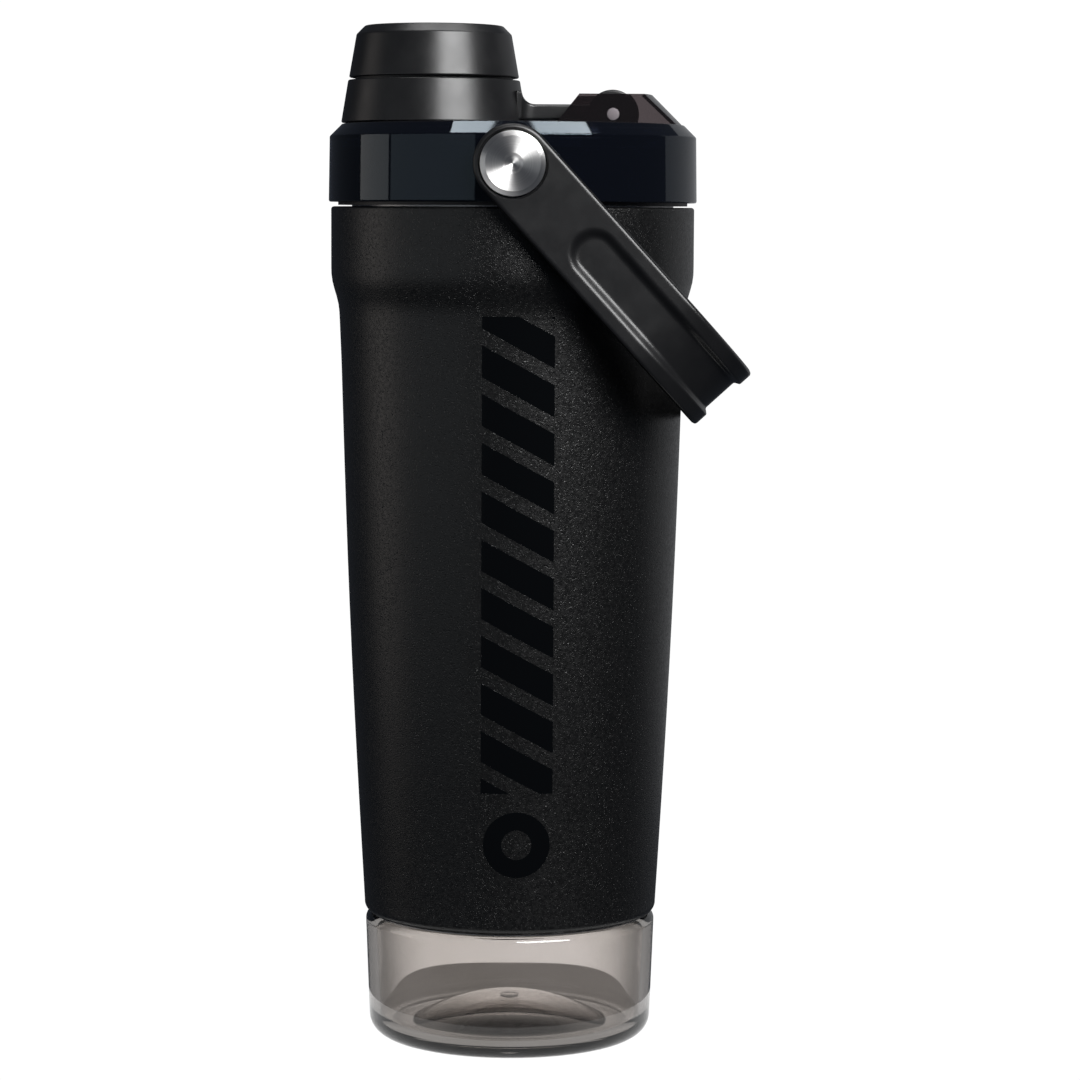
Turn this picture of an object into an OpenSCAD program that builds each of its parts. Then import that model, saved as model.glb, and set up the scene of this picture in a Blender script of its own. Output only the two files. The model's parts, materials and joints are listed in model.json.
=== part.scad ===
// Double-wall shaker bottle with a twist cap on a hinged ring, a bail handle
// and a screw-on storage cup under the base.
// Origin: centre of the foot. +Z up, +X towards the cap's hinge, handle pivots along Y.

/* [Body] */
// Outer radius of the body under the lid
body_top_r = 44.6; // [44.3:0.1:44.8]
// Outer radius of the body at its waist, just under the shoulder
waist_r = 42.6; // [42.2:0.1:42.8]
// Outer radius of the body at its base
base_r = 36.3; // [36.2:0.1:36.6]
// Outward crown of the tapered wall
crown = 0.62; // [0:0.02:0.8]
// Thickness of each steel wall
steel_t = 0.6; // [0.5:0.1:0.7]
// Gap between the outer shell and the liner
vacuum_gap = 2.5; // [2.4:0.1:2.8]

/* [Lid] */
// Outer radius of the lid's collar at its lower edge
collar_r = 45.19; // [45:0.05:45.6]
// Width and height of the 45 degree chamfer round the deck
deck_chamfer = 3.0; // [2:0.2:3.2]
// Distance from the bottle's axis to the spout's axis
spout_x = 19.4; // [19:0.1:19.6]
// Outer radius of the spout
spout_r = 15; // [14:0.1:15]
// Wall of the spout
spout_wall = 1.8; // [1.4:0.1:2.4]

/* [Handle] */
// Angle of the hanging handle below the horizontal
handle_rest = 47.7; // [47.7:0.1:52]
// Reach of the handle from its pivot to the outside of the grip
handle_reach = 75.4; // [75.4:0.1:78]
// Width of the handle's band
band_w = 18.6; // [17:0.2:18.6]
// Thickness of the handle's band along its arms
band_t = 3.7; // [3:0.1:3.7]
// Thickness of the handle's band across the grip
grip_t = 2.6; // [2.2:0.1:2.6]
// Depth of the channel moulded along the outside of the band
channel_d = 1.3; // [0.8:0.1:1.5]

/* [Storage cup] */
// Height of the cup below its neck
cup_h = 30.7; // [30.2:0.05:30.7]
// Outer radius of the cup at its shoulder
cup_top_r = 36.1; // [35.8:0.1:36.3]
// Outer radius of the cup at the top of its foot fillet
cup_foot_r = 35; // [34.5:0.1:35.2]
// Rise of the pushed-up bottom
dome_h = 6.8; // [4:0.2:7]

/* [Hidden] */
$fn = 96;

// Heights on the body
body_z0 = 30.95;
body_z1 = 205.7;
taper_z0 = 33.4;
taper_z1 = 180;
shoulder_z = 189.5;
base_round = 2.2;
neck_z = 215;
neck_r = 39.5;
liner_z = 45;
liner_round = 6;
pan_r = 34.8;
pan_z = 41.2;

// Heights and radii on the lid
collar_z = 206.8;
deck_z = 225.75;
collar_draft = 0.25;
cover_t = 2;
core_r = 42.9;
core_wall = 2;
core_z = 206.05;
plate_z0 = 217.5;
plate_z1 = 219.7;
spout_z = 244.8;

// Hinge of the cap's ring
pin_x = 24.2;
pin_z = 228.2;
pin_r = 1.6;
knuckle_r = 6.1;
knuckle_w = 13;
housing_w = 25.4;
housing_z = 233.1;
slot_w = 13.6;
slot_gap = 0.3;
strap_z0 = 227;
strap_z1 = 230.7;

// Ring and cap round the spout
ring_z0 = 226.1;
ring_z1 = 236.5;
cap_z0 = 237.1;
cap_z1 = 249.8;
cap_chamfer = 2.2;

// Handle pivot
pivot_z = 215.7;
boss_y = 46;
eye_y = 50;
boss_r = 8.8;
insert_r = 4.2;
insert_y = 41.2;
seat_y = 48.85;
past_wall = 60;

// Threads
lid_lead = 8;
cup_lead = 6;
cap_lead = 4;
thread_arc = 198;

// Base ring and the cup's neck
ring_in_r = 33.3;
cup_neck_r = 32;
cup_neck_z = 38.4;

// Points along an arc, from angle a0 to a1
function arc(x, z, r, a0, a1, steps) =
    [for (i = [0 : steps]) let (a = a0 + (a1 - a0) * i / steps) [x + r * cos(a), z + r * sin(a)]];

// Points in reverse order
function flip(points) = [for (i = [len(points) - 1 : -1 : 0]) points[i]];

function smooth(t) = t * t * (3 - 2 * t);

// Outer radius of the body at height z
function taper_r(z) =
    let (t = (z - taper_z0) / (taper_z1 - taper_z0))
    base_r + (waist_r - base_r) * t + crown * sin(180 * max(0, min(1, t / 0.92)));
function body_r(z) =
    z < taper_z1 ? taper_r(z)
    : z < shoulder_z
        ? waist_r + (body_top_r - waist_r) * smooth((z - taper_z1) / (shoulder_z - taper_z1))
        : body_top_r;

// Outer radius of the liner at height z: parallel to the body, then the straight neck
function liner_r(z) = min(neck_r, body_r(z) - steel_t - vacuum_gap);

// Heights at which the body's curve is sampled
taper_steps = 12;
shoulder_steps = 8;
taper_zs = [for (i = [0 : taper_steps]) taper_z0 + (taper_z1 - taper_z0) * i / taper_steps];
shoulder_zs = [for (i = [1 : shoulder_steps]) taper_z1 + (shoulder_z - taper_z1) * i / shoulder_steps];

module lathe(points) {
    rotate_extrude() polygon(points);
}

// Cylinder along Y between two distances from the middle plane, on the side given by s
module y_rod(s, r, y0, y1) {
    translate([0, s > 0 ? y0 : -y0, 0]) rotate([s > 0 ? -90 : 90, 0, 0]) cylinder(h = y1 - y0, r = r);
}

// One turn-part of a thread: a ridge that stands from wall radius r to crest radius rc
module ridge(r, rc, lead, z0, a0, sweep, root_w, crest_w) {
    steps = ceil(sweep / 9);
    embed = rc > r ? -0.3 : 0.3;
    profile = [[r + embed, -root_w / 2], [rc, -crest_w / 2], [rc, crest_w / 2], [r + embed, root_w / 2]];
    points = [
        for (i = [0 : steps])
            let (a = sweep * i / steps)
            for (p = profile) [p[0] * cos(a0 + a), p[0] * sin(a0 + a), z0 + lead * a / 360 + p[1]]
    ];
    sides = [
        for (i = [0 : steps - 1])
            for (k = [0 : 3])
                let (k2 = (k + 1) % 4, a = 4 * i + k, b = 4 * i + k2, c = 4 * i + 4 + k2, d = 4 * i + 4 + k)
                each [[a, b, c], [a, c, d]]
    ];
    e = 4 * steps;
    ends = [[0, 3, 2], [0, 2, 1], [e, e + 1, e + 2], [e, e + 2, e + 3]];
    faces = concat(sides, ends);
    polyhedron(points = points, faces = rc > r ? faces : [for (f = faces) flip(f)]);
}

// Two-start thread
module thread(r, rc, lead, z0, a0, root_w, crest_w) {
    for (start = [0, 180])
        ridge(r, rc, lead, z0, a0 + start, thread_arc, root_w, crest_w);
}

// Bottom edge of the shell, rounded in from the wall to the pan
function base_arc(r) =
    arc(base_r - base_round, body_z0 + base_round, r, -acos((pan_r - base_r + base_round) / r), -10, 4);

module outer_shell() {
    outer = concat(
        base_arc(base_round),
        [for (z = taper_zs) [body_r(z), z]],
        [for (z = shoulder_zs) [body_r(z), z]],
        arc(body_top_r - steel_t, body_z1 - steel_t, steel_t, 0, 90, 3)
    );
    inner = concat(
        [[neck_r, body_z1], [neck_r, body_z1 - steel_t], [body_top_r - steel_t, body_z1 - steel_t]],
        flip([for (z = shoulder_zs) [body_r(z) - steel_t, z]]),
        flip([for (z = taper_zs) [body_r(z) - steel_t, z]]),
        flip(base_arc(base_round - steel_t))
    );
    color("#17181a") lathe(concat(outer, inner));
}

module inner_liner() {
    neck_zs = [taper_z1, neck_z];
    wall_zs = [for (z = taper_zs) if (z > liner_z + liner_round && z < taper_z1) z];
    corner_r = liner_r(liner_z + liner_round) - liner_round;
    floor_z = liner_z + steel_t;
    outer = concat(
        [[0, liner_z]],
        arc(corner_r, liner_z + liner_round, liner_round, -90, 0, 5),
        [for (z = wall_zs) [liner_r(z), z]],
        [for (z = neck_zs) [neck_r, z]]
    );
    inner = concat(
        flip([for (z = neck_zs) [neck_r - steel_t, z]]),
        flip([for (z = wall_zs) [liner_r(z) - steel_t, z]]),
        arc(corner_r, liner_z + liner_round, liner_round - steel_t, 0, -90, 5),
        [[0, floor_z]]
    );
    color("#b9bcc0") {
        lathe(concat(outer, inner));
        thread(neck_r, neck_r + 1, lid_lead, 208, 0, 1.6, 0.8);
    }
}

module shell_base() {
    color("#9a9da1") lathe([
        [pan_r - steel_t, body_z0], [pan_r, body_z0], [pan_r, pan_z], [0, pan_z],
        [0, pan_z - steel_t], [pan_r - steel_t, pan_z - steel_t]
    ]);
}

module vacuum_getter() {
    color("#6f7276") translate([0, 0, liner_z - 2]) cylinder(h = 2, r = 4);
}

module base_ring() {
    outer_r = pan_r - steel_t - 0.05;
    flange_r = 28.5;
    flange_z = 39.4;
    color("#141517") {
        lathe([
            [ring_in_r, body_z0 + 0.2], [outer_r, body_z0 + 0.2], [outer_r, pan_z - steel_t - 0.1],
            [flange_r, pan_z - steel_t - 0.1], [flange_r, flange_z], [ring_in_r, flange_z]
        ]);
        thread(ring_in_r, ring_in_r - 0.8, cup_lead, 32.2, 0, 1.2, 0.6);
    }
}

module lid_gasket() {
    color("#2a2b2d") lathe([[38.2, 215.3], [40.7, 215.3], [40.7, 217.2], [38.2, 217.2]]);
}

// Smoked cover: collar, deck, hinge housing and the handle's bosses
module lid_cover() {
    chamfer_r = collar_r - collar_draft;
    chamfer_z = deck_z - deck_chamfer;
    inner_r = core_r + 0.15;
    cover_points = [
        [inner_r, collar_z], [collar_r, collar_z], [chamfer_r, chamfer_z],
        [chamfer_r - deck_chamfer, deck_z], [0, deck_z], [0, deck_z - cover_t],
        [chamfer_r - deck_chamfer - 0.8, deck_z - cover_t], [inner_r, chamfer_z - 1]
    ];
    color("#10151c") difference() {
        union() {
            lathe(cover_points);
            intersection() {
                housing_block();
                translate([0, 0, deck_z - 1]) cylinder(h = 10, r1 = 42.5, r2 = 32.5);
            }
            translate([16.5, -8.8, 220.2]) cube([15.6, 17.6, 4.5]);
            for (s = [-1, 1]) translate([0, 0, pivot_z]) y_rod(s, boss_r, 43.4, boss_y);
        }
        translate([-spout_x, 0, deck_z - 5]) cylinder(h = 10, r = spout_r + 0.3);
        knuckle_pocket();
        translate([pin_x, 0, pin_z]) y_rod(1, pin_r + 0.01, -20, 20);
        for (s = [-1, 1]) translate([0, 0, pivot_z]) y_rod(s, insert_r, 40, boss_y + 1);
    }
}

// Hinge housing on the deck, before the collar's cone trims its back
module housing_block() {
    translate([0, housing_w / 2, 0]) rotate([90, 0, 0]) linear_extrude(housing_w)
        polygon([[9.4, deck_z - 1], [16, housing_z], [44, housing_z], [44, deck_z - 1]]);
}

// Space that the ring's knuckle and strap turn in
module knuckle_pocket() {
    pocket_r = knuckle_r + slot_gap;
    translate([pin_x, 0, pin_z]) y_rod(1, pocket_r, -slot_w / 2, slot_w / 2);
    translate([0, -slot_w / 2, deck_z]) cube([pin_x, slot_w, 12]);
}

// Black core: threaded skirt, top plate, gasket rib and spout
module lid_core() {
    inner_r = core_r - core_wall;
    skirt_points = [
        [inner_r, core_z], [core_r, core_z], [core_r, plate_z1], [0, plate_z1], [0, plate_z0],
        [36.6, plate_z0], [36.6, 214.5], [38, 214.5], [38, plate_z0], [inner_r, plate_z0]
    ];
    lip = 0.7;
    spout_points = [
        [0, plate_z1 - 1], [spout_r, plate_z1 - 1], [spout_r, spout_z - lip],
        [spout_r - lip, spout_z], [0, spout_z]
    ];
    color("#141517") {
        difference() {
            union() {
                lathe(skirt_points);
                translate([-spout_x, 0, 0]) lathe(spout_points);
            }
            translate([-spout_x, 0, plate_z0 - 5]) cylinder(h = 40, r = spout_r - spout_wall);
            for (s = [-1, 1]) translate([0, 0, pivot_z]) y_rod(s, insert_r, 40, boss_y);
        }
        thread(inner_r, inner_r - 1, lid_lead, 207.333, 60, 1.6, 0.8);
        translate([-spout_x, 0, 0]) ridge(spout_r, spout_r + 0.9, cap_lead, 234, 0, 450, 1.6, 0.8);
    }
}

module hinge_pin() {
    half = housing_w / 2 - 0.1;
    color("#8d8482") translate([pin_x, 0, pin_z]) y_rod(1, pin_r, -half, half);
}

// Threaded insert for one handle screw, on the side given by s
module screw_insert(s) {
    color("#b08d4a") translate([0, 0, pivot_z]) difference() {
        y_rod(s, insert_r - 0.02, insert_y, boss_y);
        y_rod(s, 2.5, 40, boss_y + 1);
    }
}

// Turned shoulder screw with a broad bevelled head
module handle_screw(s) {
    head_r = 7.66;
    rim_y = seat_y + 1.4;
    head_points = [
        [0, seat_y], [head_r, seat_y], [head_r, rim_y], [6.3, rim_y + 0.6],
        [2.4, rim_y + 0.35], [1.5, rim_y - 0.4], [0, rim_y - 0.4]
    ];
    color("#c9cbce") translate([0, 0, pivot_z]) {
        rotate([s > 0 ? -90 : 90, 0, 0]) lathe(head_points);
        y_rod(s, 4, boss_y, seat_y + 0.2);
        y_rod(s, 2.45, insert_y + 0.2, boss_y + 0.2);
    }
}

// Mixing grid that snaps under the lid
module mixer_grid() {
    grid_z = 206.4;
    grid_h = 1.8;
    ring_r = 36.3;
    wall = 1.5;
    bar_w = 1.6;
    color("#26282b") {
        lathe([[ring_r - wall, grid_z], [ring_r, grid_z], [ring_r, 217.2], [ring_r - wall, 217.2]]);
        for (r = [11, 19, 27])
            lathe([[r, grid_z], [r + bar_w, grid_z], [r + bar_w, grid_z + grid_h], [r, grid_z + grid_h]]);
        translate([0, 0, grid_z]) cylinder(h = grid_h, r = 4);
        for (a = [0 : 30 : 330]) rotate([0, 0, a])
            translate([3, -bar_w / 2, grid_z]) cube([ring_r - wall - 2.5, bar_w, grid_h]);
    }
}

// Hinged ring round the spout, with its strap and knuckle
module cap_ring() {
    lip_r = 19.6;
    bore_r = 20.55;
    lip_z = 232;
    fillet = 3;
    wall_x = 2.4;
    color("#141517") difference() {
        union() {
            translate([-spout_x, 0, 0])
                lathe([[0, ring_z0], [22.78, ring_z0], [21.04, ring_z1], [0, ring_z1]]);
            translate([0, knuckle_w / 2, 0]) rotate([90, 0, 0]) linear_extrude(knuckle_w)
                polygon(concat(
                    [[-2, strap_z0], [pin_x, strap_z0], [pin_x, strap_z1]],
                    arc(wall_x + fillet, strap_z1 + fillet, fillet, 270, 180, 5),
                    [[-2, strap_z1 + fillet]]
                ));
            translate([pin_x, 0, pin_z]) y_rod(1, knuckle_r, -knuckle_w / 2, knuckle_w / 2);
        }
        translate([-spout_x, 0, 220]) cylinder(h = 20, r = lip_r);
        translate([-spout_x, 0, 220]) cylinder(h = lip_z - 220, r = bore_r);
        translate([pin_x, 0, pin_z]) y_rod(1, pin_r + 0.06, -10, 10);
    }
}

module cap_seal() {
    color("#2a2b2d") translate([-spout_x, 0, 245.1]) cylinder(h = 1.75, r = 15.8);
}

// Outer shell of the twist cap
module cap_shell() {
    top_r = 19;
    low_r = 20.84;
    wall = 1.5;
    top_in_z = 248.05;
    color("#141517") translate([-spout_x, 0, 0]) lathe([
        [low_r - wall, cap_z0], [low_r, cap_z0], [top_r, cap_z1 - cap_chamfer],
        [top_r - cap_chamfer, cap_z1], [0, cap_z1], [0, top_in_z],
        [top_r - cap_chamfer - 0.4, top_in_z], [top_r - wall + 0.2, top_in_z - 1.6]
    ]);
}

// Inner cup of the twist cap, with the bead that keeps it in the ring
module cap_core() {
    skirt_r = 19.3;
    bore_r = 18;
    skirt_z = 228;
    bead_r = 20.2;
    seat_r = 16.1;
    ceiling_z = 246.9;
    top_z = 248;
    color("#141517") translate([-spout_x, 0, 0]) lathe([
        [bore_r, skirt_z], [skirt_r, skirt_z], [bead_r, skirt_z + 0.6], [bead_r, skirt_z + 1.2],
        [skirt_r, skirt_z + 1.8], [skirt_r, cap_z0 + 0.2], [17.6, 246], [16.2, top_z],
        [0, top_z], [0, ceiling_z], [seat_r, ceiling_z], [seat_r, 245.2], [bore_r, 241]
    ]);
}

// Plan of the bail: straight arms, round corners, straight grip. It is drawn smaller by side on
// the arms and by end on the grip.
function bail_plan(side, end) =
    let (
        corner_u = 50,
        corner_r = handle_reach - corner_u,
        corner_y = eye_y - corner_r,
        steps = 10,
        half = [
            for (i = [0 : steps])
                let (a = 90 * i / steps)
                [corner_u + (corner_r - end) * sin(a), corner_y + (corner_r - side) * cos(a)]
        ]
    )
    concat([[-20, eye_y - side]], half, [for (p = flip(half)) [p[0], -p[1]]], [[-20, side - eye_y]]);

// Side outline of the band: a bar with a round end, of half-width h, starting at u
module band_side(u, h) {
    rotate([90, 0, 0]) translate([0, 0, -past_wall]) linear_extrude(2 * past_wall) union() {
        translate([u, 0]) circle(r = h);
        translate([u, -h]) square([90, 2 * h]);
    }
}

module handle() {
    channel_u = 28.4;
    counterbore_r = 8;
    color("#141517") translate([0, 0, pivot_z]) rotate([0, handle_rest, 0]) difference() {
        intersection() {
            translate([0, 0, -15]) linear_extrude(30) difference() {
                polygon(bail_plan(0, 0));
                polygon(bail_plan(band_t, grip_t));
            }
            band_side(0, band_w / 2);
        }
        intersection() {
            translate([0, 0, -15]) linear_extrude(30) difference() {
                square([200, 200], center = true);
                polygon(bail_plan(channel_d, channel_d));
            }
            band_side(channel_u, 5);
        }
        for (s = [-1, 1]) {
            y_rod(s, 4.6, eye_y - 10, past_wall);
            y_rod(s, counterbore_r, eye_y - 1.7, past_wall);
        }
    }
}

// Flanged bush in the handle's eye, on the side given by s
module pivot_bush(s) {
    color("#3a3c3f") translate([0, 0, pivot_z]) difference() {
        union() {
            y_rod(s, 4.58, eye_y - band_t + 0.05, eye_y - 1.6);
            y_rod(s, 7.6, eye_y - 1.68, eye_y - 1.2);
        }
        y_rod(s, 4.05, eye_y - 10, past_wall);
    }
}

module cup_gasket() {
    color("#2a2b2d") lathe([[30.3, 38.45], [31.8, 38.45], [31.8, 39.1], [30.3, 39.1]]);
}

// Clear cup with a threaded neck and a pushed-up bottom
module storage_cup() {
    foot_r = 30.2;
    ring_in = 24;
    fillet = cup_foot_r - foot_r;
    floor_t = 3;
    wall = 2.4;
    shoulder = 2.2;
    shoulder_t = 1.8;
    inner_round = 1;
    mouth_r = 30;
    dome_steps = 6;
    dome = [for (i = [0 : dome_steps]) let (r = ring_in * i / dome_steps) [r, dome_h * (1 - pow(r / ring_in, 2))]];
    outer = concat(
        dome,
        arc(foot_r, fillet, fillet, -90, 0, 6),
        arc(cup_top_r - shoulder, cup_h - shoulder, shoulder, 5, 90, 4),
        [[cup_neck_r, cup_h], [cup_neck_r, cup_neck_z]]
    );
    inner = concat(
        [[mouth_r, cup_neck_z], [mouth_r, cup_h]],
        arc(cup_top_r - wall - inner_round, cup_h - shoulder_t - inner_round, inner_round, 60, 0, 3),
        arc(foot_r - 1, fillet + 1.6, cup_foot_r - wall - foot_r + 1, 0, -90, 4),
        flip([for (p = dome) p + [0, floor_t]])
    );
    color("#6b6560", 0.5) {
        lathe(concat(outer, inner));
        thread(cup_neck_r, cup_neck_r + 0.85, cup_lead, 33.4, -20, 1.2, 0.6);
    }
}

outer_shell();
inner_liner();
shell_base();
vacuum_getter();
base_ring();
lid_gasket();
lid_cover();
lid_core();
hinge_pin();
screw_insert(-1);  // insert_front
screw_insert(1);  // insert_back
handle_screw(-1);  // handle_screw_front
handle_screw(1);  // handle_screw_back
mixer_grid();
cap_ring();
cap_seal();
cap_shell();
cap_core();
handle();
pivot_bush(-1);  // bush_front
pivot_bush(1);  // bush_back
cup_gasket();
storage_cup();
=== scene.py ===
"""Shaker bottle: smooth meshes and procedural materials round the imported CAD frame."""

import json
import math

import bmesh
import bpy
from mathutils import Matrix, Vector

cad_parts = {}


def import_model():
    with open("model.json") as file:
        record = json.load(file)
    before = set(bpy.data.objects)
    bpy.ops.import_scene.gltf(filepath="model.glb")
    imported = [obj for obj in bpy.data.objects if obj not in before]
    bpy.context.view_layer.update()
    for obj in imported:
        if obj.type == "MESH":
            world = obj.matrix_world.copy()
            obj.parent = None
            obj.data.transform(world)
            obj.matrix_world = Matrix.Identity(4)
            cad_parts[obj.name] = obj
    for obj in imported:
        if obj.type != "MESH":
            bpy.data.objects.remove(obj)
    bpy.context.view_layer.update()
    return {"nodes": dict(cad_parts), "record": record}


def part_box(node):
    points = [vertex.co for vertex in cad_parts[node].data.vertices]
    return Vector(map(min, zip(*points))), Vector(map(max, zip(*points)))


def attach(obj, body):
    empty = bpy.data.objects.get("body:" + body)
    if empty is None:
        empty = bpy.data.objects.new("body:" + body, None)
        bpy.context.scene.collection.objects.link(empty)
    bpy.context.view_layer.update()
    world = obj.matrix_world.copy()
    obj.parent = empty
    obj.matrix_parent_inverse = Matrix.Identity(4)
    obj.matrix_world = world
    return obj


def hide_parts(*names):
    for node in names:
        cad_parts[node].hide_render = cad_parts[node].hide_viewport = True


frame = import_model()
record = frame["record"]
joints = {joint["name"]: joint for joint in record["behaviour"]["joints"]}

MM = 0.001
DEG = math.radians(1)


# ---------------------------------------------------------------- places, from the frame, in mm


def box_mm(node):
    low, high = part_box(node)
    return low / MM, high / MM


def joint_mm(name):
    return Vector(joints[name]["pos_m"]) / MM


SHELL_HIGH = box_mm("outer_shell")[1]
COVER_LOW, COVER_HIGH = box_mm("lid_cover")
RING_LOW, RING_HIGH = box_mm("cap_ring")
CAP_LOW, CAP_HIGH = box_mm("cap_shell")
CUP_HIGH = box_mm("storage_cup")[1]
BASE_RING_LOW, BASE_RING_HIGH = box_mm("base_ring")
PAN_LOW, PAN_HIGH = box_mm("shell_base")
HANDLE_HIGH = box_mm("handle")[1]
SCREW_FACE = -box_mm("handle_screw_front")[0].y
PIN_HALF = box_mm("hinge_pin")[1].y
HINGE = joint_mm("cap_flip")
PIVOT = joint_mm("handle_swing")
SPOUT = joint_mm("cap_turn")

COLLAR_R = COVER_HIGH.x
COLLAR_DRAFT = 0.25
CHAMFER = 3.0
HOUSING_TALL = 7.35
HOUSING_HALF = 12.7
DECK_Z = COVER_HIGH.z - HOUSING_TALL
SLOT_HALF = 6.8
KNUCKLE_R = RING_HIGH.x - HINGE.x
KNUCKLE_HALF = 6.5
PIN_R = 1.6
CAP_R = (CAP_HIGH.x - CAP_LOW.x) / 2
RING_R = SPOUT.x - RING_LOW.x
BOSS_R = 8.8
EYE_Y = HANDLE_HIGH.y
BAND_W = 18.6
BAND_T = 3.7
GRIP_T = 2.6
CORNER_U = 50.0
REST_ANGLE = (joints["handle_swing"]["range_deg"][1] - 180) / 2 * DEG
REACH = (HANDLE_HIGH.x - BAND_W / 2 * math.sin(REST_ANGLE)) / math.cos(REST_ANGLE)
THREAD_LEAD = 6
THREAD_SWEEP = 198
THREAD_DEPTH = 0.8


# ---------------------------------------------------------------- mesh helpers


def fillet(corners, steps=6):
    """Round the corners (r, z, radius) of a closed outline; a corner with no radius stays sharp."""
    outline = []
    count = len(corners)
    for i, corner in enumerate(corners):
        point = Vector(corner[:2])
        radius = corner[2] if len(corner) > 2 else 0
        if not radius:
            outline.append(point)
            continue
        back = Vector(corners[i - 1][:2]) - point
        ahead = Vector(corners[(i + 1) % count][:2]) - point
        half = back.angle(ahead) / 2
        cut = min(radius / math.tan(half), 0.49 * back.length, 0.49 * ahead.length)
        radius = cut * math.tan(half)
        middle = (back.normalized() + ahead.normalized()).normalized()
        centre = point + middle * (radius / math.sin(half))
        start = point + back.normalized() * cut - centre
        end = point + ahead.normalized() * cut - centre
        sweep = math.atan2(start.x * end.y - start.y * end.x, start.dot(end))
        for k in range(steps + 1):
            a = sweep * k / steps
            turned = Vector((
                start.x * math.cos(a) - start.y * math.sin(a),
                start.x * math.sin(a) + start.y * math.cos(a),
            ))
            outline.append(centre + turned)
    return outline


def new_object(name, bm, sharp=35):
    """Make an object from a bmesh in mm, at the frame's origin, in metres."""
    bmesh.ops.remove_doubles(bm, verts=bm.verts, dist=1e-5)
    bmesh.ops.recalc_face_normals(bm, faces=bm.faces)
    bmesh.ops.scale(bm, vec=(MM, MM, MM), verts=bm.verts)
    mesh = bpy.data.meshes.new(name)
    bm.to_mesh(mesh)
    bm.free()
    mesh.shade_smooth()
    mesh.set_sharp_from_angle(angle=sharp * DEG)
    obj = bpy.data.objects.new(name, mesh)
    bpy.context.scene.collection.objects.link(obj)
    return obj


def lathe_bm(outline, segments=192, matrix=None):
    """Turn a closed outline of (r, z) points about Z."""
    bm = bmesh.new()
    rings = []
    for r, z in outline:
        if r < 1e-6:
            rings.append([bm.verts.new((0, 0, z))])
            continue
        ring = []
        for k in range(segments):
            a = 2 * math.pi * k / segments
            ring.append(bm.verts.new((r * math.cos(a), r * math.sin(a), z)))
        rings.append(ring)
    for i, ring in enumerate(rings):
        following = rings[(i + 1) % len(rings)]
        if len(ring) == 1 and len(following) == 1:
            continue
        for k in range(segments):
            k2 = (k + 1) % segments
            if len(ring) == 1:
                bm.faces.new((ring[0], following[k], following[k2]))
            elif len(following) == 1:
                bm.faces.new((ring[k2], ring[k], following[0]))
            else:
                bm.faces.new((ring[k], following[k], following[k2], ring[k2]))
    if matrix is not None:
        bmesh.ops.transform(bm, matrix=matrix, verts=bm.verts)
    return bm


def prism_bm(outline, y0, y1):
    """Extrude a closed XZ outline from y0 to y1."""
    bm = bmesh.new()
    near = [bm.verts.new((p[0], y0, p[1])) for p in outline]
    far = [bm.verts.new((p[0], y1, p[1])) for p in outline]
    bm.faces.new(near)
    bm.faces.new(far[::-1])
    for i in range(len(outline)):
        j = (i + 1) % len(outline)
        bm.faces.new((near[i], far[i], far[j], near[j]))
    return bm


def along_y(x, z, side=1):
    """Matrix that lays a lathe's +Z along +Y or -Y, on an axis at (x, z)."""
    return Matrix.Translation((x, 0, z)) @ Matrix.Rotation(-side * math.pi / 2, 4, "X")


def at_hinge():
    return along_y(HINGE.x, HINGE.z)


def at_pivot(side):
    return along_y(PIVOT.x, PIVOT.z, side)


def at_spout():
    return Matrix.Translation((SPOUT.x, SPOUT.y, 0))


def rod(name, r, z0, z1, segments, matrix=None, edge=0.0):
    """Solid rod with edges rounded by edge, lying as the matrix says."""
    outline = fillet([(0, z0), (r, z0, edge), (r, z1, edge), (0, z1)], 4)
    return new_object(name, lathe_bm(outline, segments, matrix))


def skin(bm, rows, capped=False):
    """Join rows of points, each a closed ring, into one skin."""
    count = len(rows[0])
    for row, following in zip(rows, rows[1:]):
        for k in range(count):
            k2 = (k + 1) % count
            bm.faces.new((row[k], following[k], following[k2], row[k2]))
    if capped:
        bm.faces.new(rows[0])
        bm.faces.new(rows[-1][::-1])
    return bm


def apply_modifiers(obj):
    graph = bpy.context.evaluated_depsgraph_get()
    mesh = bpy.data.meshes.new_from_object(obj.evaluated_get(graph))
    old = obj.data
    obj.modifiers.clear()
    obj.data = mesh
    bpy.data.meshes.remove(old)


def combine(obj, operation, *cutters):
    """Boolean the cutters into obj, one after the other, and drop them."""
    for cutter in cutters:
        step = obj.modifiers.new(operation.lower(), "BOOLEAN")
        step.operation = operation
        step.solver = "EXACT"
        step.object = cutter
        bpy.context.view_layer.update()
        apply_modifiers(obj)
        bpy.data.objects.remove(cutter)
    return obj


def round_edges(obj, width, inside, angle=25, segments=3):
    """Round, by width in mm, the sharp edges of obj whose middle (in mm) passes the test inside."""
    bm = bmesh.new()
    bm.from_mesh(obj.data)
    bmesh.ops.remove_doubles(bm, verts=bm.verts, dist=0.02 * MM)
    bmesh.ops.dissolve_degenerate(bm, edges=bm.edges, dist=0.01 * MM)
    chosen = []
    for edge in bm.edges:
        middle = (edge.verts[0].co + edge.verts[1].co) / (2 * MM)
        is_sharp = len(edge.link_faces) == 2 and edge.calc_face_angle() > angle * DEG
        if is_sharp and inside(middle):
            chosen.append(edge)
    bmesh.ops.bevel(
        bm, geom=chosen, offset=width * MM, offset_type="OFFSET", segments=segments,
        profile=0.5, affect="EDGES", clamp_overlap=True,
    )
    bm.to_mesh(obj.data)
    bm.free()


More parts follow.
